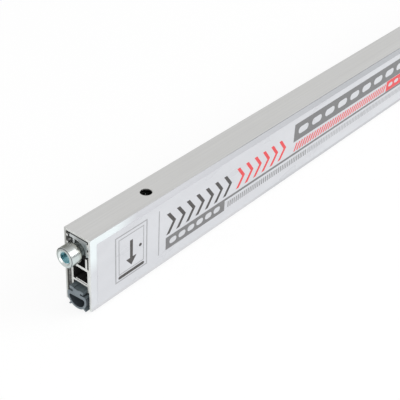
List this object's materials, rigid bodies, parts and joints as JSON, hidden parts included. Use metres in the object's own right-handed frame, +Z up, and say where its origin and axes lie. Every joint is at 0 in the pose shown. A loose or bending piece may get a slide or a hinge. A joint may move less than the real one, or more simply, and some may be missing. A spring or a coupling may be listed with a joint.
{
  "type": "automatic door bottom seal",
  "caption": "Drop-down seal for the foot of a door: aluminium channel with a spring-returned plunger that pushes a silicone bulb seal down on linked arms.",
  "frame": {"origin": "middle of the top face of the channel", "axes": "+X along the bar away from the plunger, +Y to the back, away from the film, +Z up to the top face with the fixing holes"},
  "size_m": [0.4372, 0.0121, 0.0307],
  "materials": {
    "aluminium": "mill",
    "film": "satin",
    "zinc": "plated",
    "steel": "machined",
    "spring_steel": "drawn",
    "silicone": "matte"
  },
  "bodies": {
    "housing": {"housing": "aluminium", "label": "film", "spring_stop": "steel", "lift_bracket_1": "steel", "lift_bracket_2": "steel", "bracket_pin_1": "steel", "bracket_pin_2": "steel"},
    "plunger": {"plunger_block": "steel", "slider_rod": "zinc", "plunger_rivets": "steel", "fork_rivets": "steel", "slider_fork_1": "steel", "slider_fork_2": "steel", "fork_pin_1": "steel", "fork_pin_2": "steel", "return_spring": "spring_steel"},
    "screw": {"adjusting_screw": "zinc"},
    "drop_bar": {"drop_bar": "aluminium", "seal": "silicone", "bar_rivets": "steel", "bar_bracket_1": "steel", "bar_bracket_2": "steel", "bar_pin_1": "steel", "bar_pin_2": "steel"},
    "short_link_1": {"short_link_1": "zinc", "centre_pin_1": "steel"},
    "short_link_2": {"short_link_2": "zinc", "centre_pin_2": "steel"},
    "long_link_1": {"long_link_1": "zinc"},
    "long_link_2": {"long_link_2": "zinc"}
  },
  "joints": [
    {"name": "seal_drop", "type": "slide", "parent": "housing", "child": "drop_bar", "axis": [0, 0, -1], "range_m": [0, 0.012], "stiffness_N_per_m": 150, "springref_m": -0.02},
    {"name": "plunger_slide", "type": "slide", "parent": "housing", "child": "plunger", "axis": [1, 0, 0], "range_m": [0, 0.0044], "deforming": ["return_spring"]},
    {"name": "screw_turn", "type": "hinge", "parent": "plunger", "child": "screw", "pos_m": [-0.215, 0, -0.0066], "axis": [1, 0, 0], "continuous": true},
    {"name": "short_link_1_swing", "type": "hinge", "parent": "housing", "child": "short_link_1", "pos_m": [-0.125, 0, -0.0065], "axis": [0, -1, 0], "range_deg": [0, 21.67]},
    {"name": "long_link_1_swing", "type": "hinge", "parent": "drop_bar", "child": "long_link_1", "pos_m": [-0.125, 0, -0.012], "axis": [0, 1, 0], "range_deg": [0, 21.67]},
    {"name": "short_link_2_swing", "type": "hinge", "parent": "housing", "child": "short_link_2", "pos_m": [0.125, 0, -0.0065], "axis": [0, -1, 0], "range_deg": [0, 21.67]},
    {"name": "long_link_2_swing", "type": "hinge", "parent": "drop_bar", "child": "long_link_2", "pos_m": [0.125, 0, -0.012], "axis": [0, 1, 0], "range_deg": [0, 21.67]}
  ],
  "couplings": [
    {"joint": "plunger_slide", "follows": "seal_drop", "ratio": 0.36681},
    {"joint": "short_link_1_swing", "follows": "seal_drop", "rad_per_m": 31.515},
    {"joint": "long_link_1_swing", "follows": "seal_drop", "rad_per_m": 31.515},
    {"joint": "short_link_2_swing", "follows": "seal_drop", "rad_per_m": 31.515},
    {"joint": "long_link_2_swing", "follows": "seal_drop", "rad_per_m": 31.515}
  ]
}
